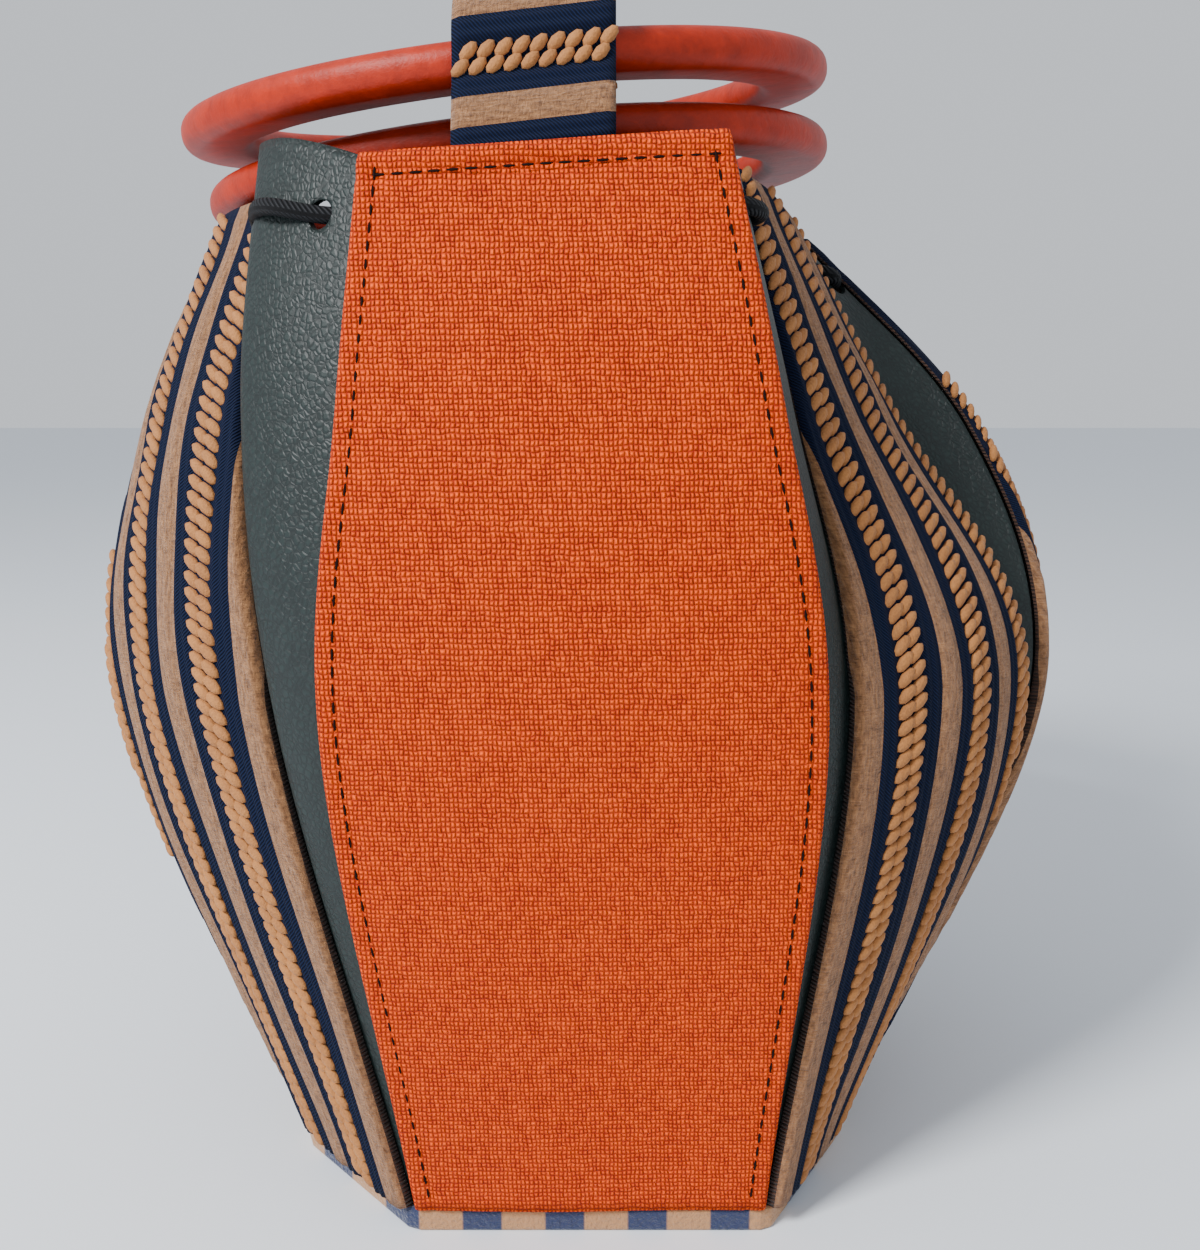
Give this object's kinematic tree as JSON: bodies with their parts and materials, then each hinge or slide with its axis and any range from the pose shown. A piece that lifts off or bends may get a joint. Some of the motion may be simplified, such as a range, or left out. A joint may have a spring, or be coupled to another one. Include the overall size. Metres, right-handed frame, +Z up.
{
  "type": "woven handbag",
  "caption": "Barrel-shaped drawstring handbag of woven cloth panels and leather gussets, with flat wooden ring handles held by cloth tabs.",
  "frame": {"origin": "on the underside of the base, below the middle of the belly", "axes": "+Z up from the base to the mouth, the front panel towards -Y, +X to the right seen from the front"},
  "size_m": [0.2221, 0.1855, 0.2499],
  "materials": {
    "orange_cloth": "basket weave, slubby, matt",
    "striped_cloth": "upholstery stripe of chenille, navy cord and braid",
    "green_leather": "pebbled, semi-matt",
    "black_cord": "round braided cord",
    "painted_wood": "satin paint over turned wood"
  },
  "bodies": {
    "root": {"panel_front": "orange_cloth", "panel_back": "orange_cloth", "panel_front_right": "striped_cloth", "panel_right": "striped_cloth", "panel_back_right": "striped_cloth", "panel_back_left": "striped_cloth", "panel_left": "striped_cloth", "panel_front_left": "striped_cloth", "gusset_front_left": "green_leather", "gusset_front_right": "green_leather", "gusset_right_front": "green_leather", "gusset_right_back": "green_leather", "gusset_back_right": "green_leather", "gusset_back_left": "green_leather", "gusset_left_back": "green_leather", "gusset_left_front": "green_leather", "base": "striped_cloth", "drawstring": "black_cord", "ring_upper": "painted_wood", "ring_lower": "painted_wood", "tab_front": "striped_cloth", "tab_back": "striped_cloth"}
  },
  "joints": []
}
